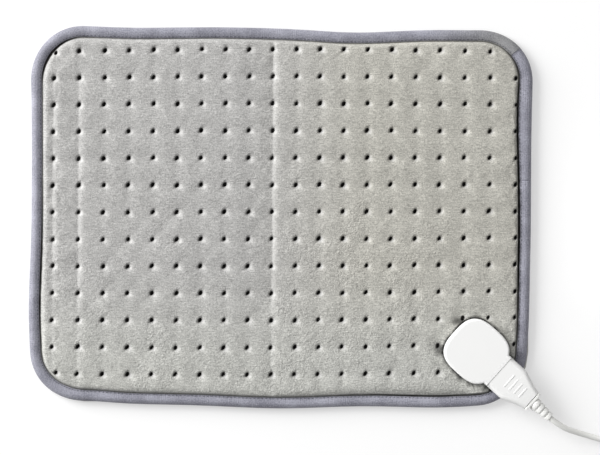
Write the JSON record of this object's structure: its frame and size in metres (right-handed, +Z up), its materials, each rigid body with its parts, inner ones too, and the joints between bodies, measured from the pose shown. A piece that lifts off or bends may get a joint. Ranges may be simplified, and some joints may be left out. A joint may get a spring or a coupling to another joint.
{
  "type": "heating pad with controller",
  "caption": "Soft plush heating pad with a tufted top and bound edge, a plug-in lead at one corner, a push-button hand controller and a mains plug.",
  "frame": {"origin": "middle of the pad's underside, on the surface that the pad lies on", "axes": "+X along the pad's long side towards the connector, +Y along its short side away from the connector, +Z up out of the tufted face"},
  "size_m": [0.5557, 0.3637, 0.021],
  "materials": {
    "plush_top": "short-pile plush",
    "plush_bottom": "short-pile plush",
    "binding_cloth": "woven tape",
    "wadding": "loose fibre",
    "carrier_cloth": "non-woven sheet",
    "wire_jacket": "matte",
    "dark_plastic": "matte",
    "brass": "plated",
    "steel": "plain",
    "cord_jacket": "satin",
    "tie_strap": "woven strap",
    "board": "solder mask",
    "grey_button": "satin",
    "amber_plastic": "translucent",
    "white_plastic": "satin gloss"
  },
  "bodies": {
    "pad": {"bottom_panel": "plush_bottom", "wire_carrier": "carrier_cloth", "quilted_top_panel": "plush_top", "edge_binding": "binding_cloth", "wadding_sheet": "wadding", "thermal_cutout": "dark_plastic", "supply_wire": "wire_jacket", "heating_wire": "wire_jacket", "socket_backing_plate": "white_plastic", "socket_base": "white_plastic", "socket_cover": "white_plastic", "socket_contact_block": "dark_plastic", "socket_pin_left": "brass", "socket_pin_right": "brass", "socket_screw_1": "steel", "socket_screw_2": "steel", "socket_screw_3": "steel", "socket_screw_4": "steel"},
    "lead": {"plug_upper_shell": "white_plastic", "plug_lower_shell": "white_plastic", "plug_contact_insert": "dark_plastic", "plug_contact_left": "brass", "plug_contact_right": "brass", "plug_strain_relief": "cord_jacket", "pad_lead": "cord_jacket", "pad_lead_coil": "cord_jacket", "pad_lead_tail": "cord_jacket", "pad_lead_tie": "tie_strap", "mains_lead": "cord_jacket", "mains_lead_coil": "cord_jacket", "mains_lead_tail": "cord_jacket", "mains_lead_tie": "tie_strap", "mains_plug_body": "white_plastic", "mains_pin_left": "brass", "mains_pin_right": "brass", "mains_plug_boot": "cord_jacket", "controller_bottom_shell": "white_plastic", "controller_top_shell": "white_plastic", "circuit_board": "board", "case_screw_1": "steel", "case_screw_2": "steel", "case_screw_3": "steel", "case_screw_4": "steel", "plus_switch": "dark_plastic", "power_switch": "dark_plastic", "minus_switch": "dark_plastic", "light_guide": "amber_plastic", "light_bar": "amber_plastic", "power_relay": "dark_plastic", "film_capacitor": "amber_plastic", "fuse": "steel", "pad_lead_gland": "cord_jacket", "mains_lead_gland": "cord_jacket"},
    "power_key": {"power_button": "grey_button"},
    "plus_key": {"plus_button": "grey_button"},
    "minus_key": {"minus_button": "grey_button"}
  },
  "joints": [
    {"name": "plug_pull", "type": "slide", "parent": "pad", "child": "lead", "axis": [0.7431, -0.6691, 0], "range_m": [0, 0.018]},
    {"name": "power_press", "type": "slide", "parent": "lead", "child": "power_key", "axis": [0, 0, -1], "range_m": [0, 0.0008], "stiffness_N_per_m": 600, "springref_m": -0.0005},
    {"name": "plus_press", "type": "slide", "parent": "lead", "child": "plus_key", "axis": [0, 0, -1], "range_m": [0, 0.0008], "stiffness_N_per_m": 600, "springref_m": -0.0005},
    {"name": "minus_press", "type": "slide", "parent": "lead", "child": "minus_key", "axis": [0, 0, -1], "range_m": [0, 0.0008], "stiffness_N_per_m": 600, "springref_m": -0.0005}
  ]
}
